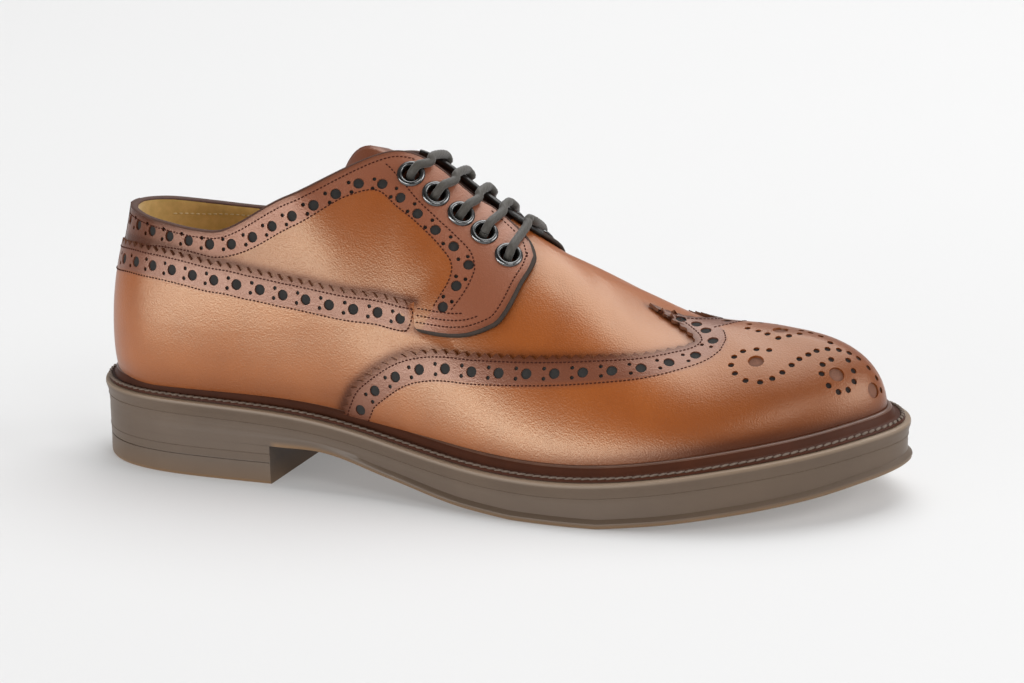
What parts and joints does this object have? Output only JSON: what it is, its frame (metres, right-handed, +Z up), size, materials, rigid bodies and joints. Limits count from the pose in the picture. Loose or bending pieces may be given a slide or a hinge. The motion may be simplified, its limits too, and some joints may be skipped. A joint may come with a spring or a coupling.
{
  "type": "derby shoe",
  "caption": "Lace-up full-brogue derby shoe for the right foot: hollow leather upper with a winged toe cap, open lacing facings, welt, and a thick rubber sole with a heel.",
  "frame": {"origin": "centre of the bounding box, on the floor that the sole stands on", "axes": "+X from the heel towards the toe, +Y towards the medial side of the foot, +Z up"},
  "size_m": [0.3104, 0.1155, 0.1214],
  "materials": {
    "tan_leather": "burnished, semi-gloss",
    "brown_leather": "burnished, semi-gloss",
    "insole_leather": "matt",
    "welt_leather": "gloss",
    "sole_rubber": "satin",
    "eyelet_enamel": "gloss black",
    "lace_cotton": "waxed"
  },
  "bodies": {
    "root": {"top_lift": "sole_rubber", "heel": "sole_rubber", "outsole": "sole_rubber", "midsole": "sole_rubber", "welt": "welt_leather", "insole": "insole_leather", "upper": "tan_leather", "wing_cap": "tan_leather", "heel_foxing": "tan_leather", "quarter_lateral": "brown_leather", "quarter_medial": "brown_leather", "back_strip": "brown_leather", "tongue": "brown_leather", "eyelet_lateral_1": "eyelet_enamel", "eyelet_lateral_2": "eyelet_enamel", "eyelet_lateral_3": "eyelet_enamel", "eyelet_lateral_4": "eyelet_enamel", "eyelet_lateral_5": "eyelet_enamel", "eyelet_medial_1": "eyelet_enamel", "eyelet_medial_2": "eyelet_enamel", "eyelet_medial_3": "eyelet_enamel", "eyelet_medial_4": "eyelet_enamel", "eyelet_medial_5": "eyelet_enamel", "lace_bar_1": "lace_cotton", "lace_bar_2": "lace_cotton", "lace_bar_3": "lace_cotton", "lace_bar_4": "lace_cotton", "lace_bar_5": "lace_cotton"}
  },
  "joints": []
}
